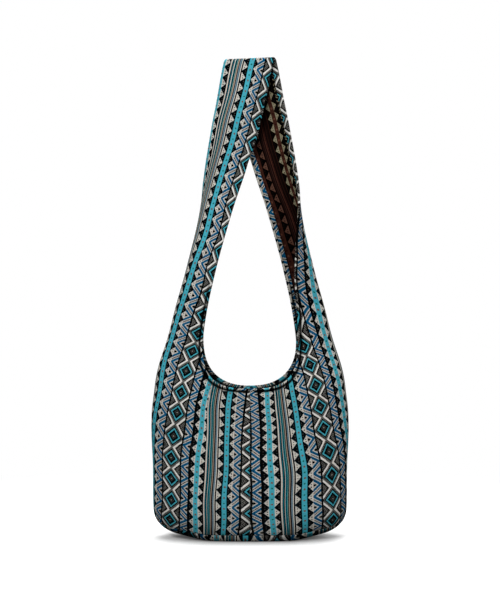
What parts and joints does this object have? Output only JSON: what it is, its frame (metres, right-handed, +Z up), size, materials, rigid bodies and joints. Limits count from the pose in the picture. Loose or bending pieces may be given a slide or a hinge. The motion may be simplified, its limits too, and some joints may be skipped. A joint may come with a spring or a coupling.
{
  "type": "crossbody bag",
  "caption": "Slouchy cloth hobo bag in a woven striped jacquard, with a scooped open mouth, an oval base and a wide strap cut in one with the body.",
  "frame": {"origin": "bottom centre of the bounding box, on the floor under the middle of the base", "axes": "+Z up along the strap, the front faces -Y, +X to the right seen from the front"},
  "size_m": [0.314, 0.105, 0.766],
  "materials": {
    "jacquard": "matte woven cotton jacquard"
  },
  "bodies": {
    "root": {"left_panel": "jacquard", "right_panel": "jacquard", "base_panel": "jacquard"}
  },
  "joints": []
}
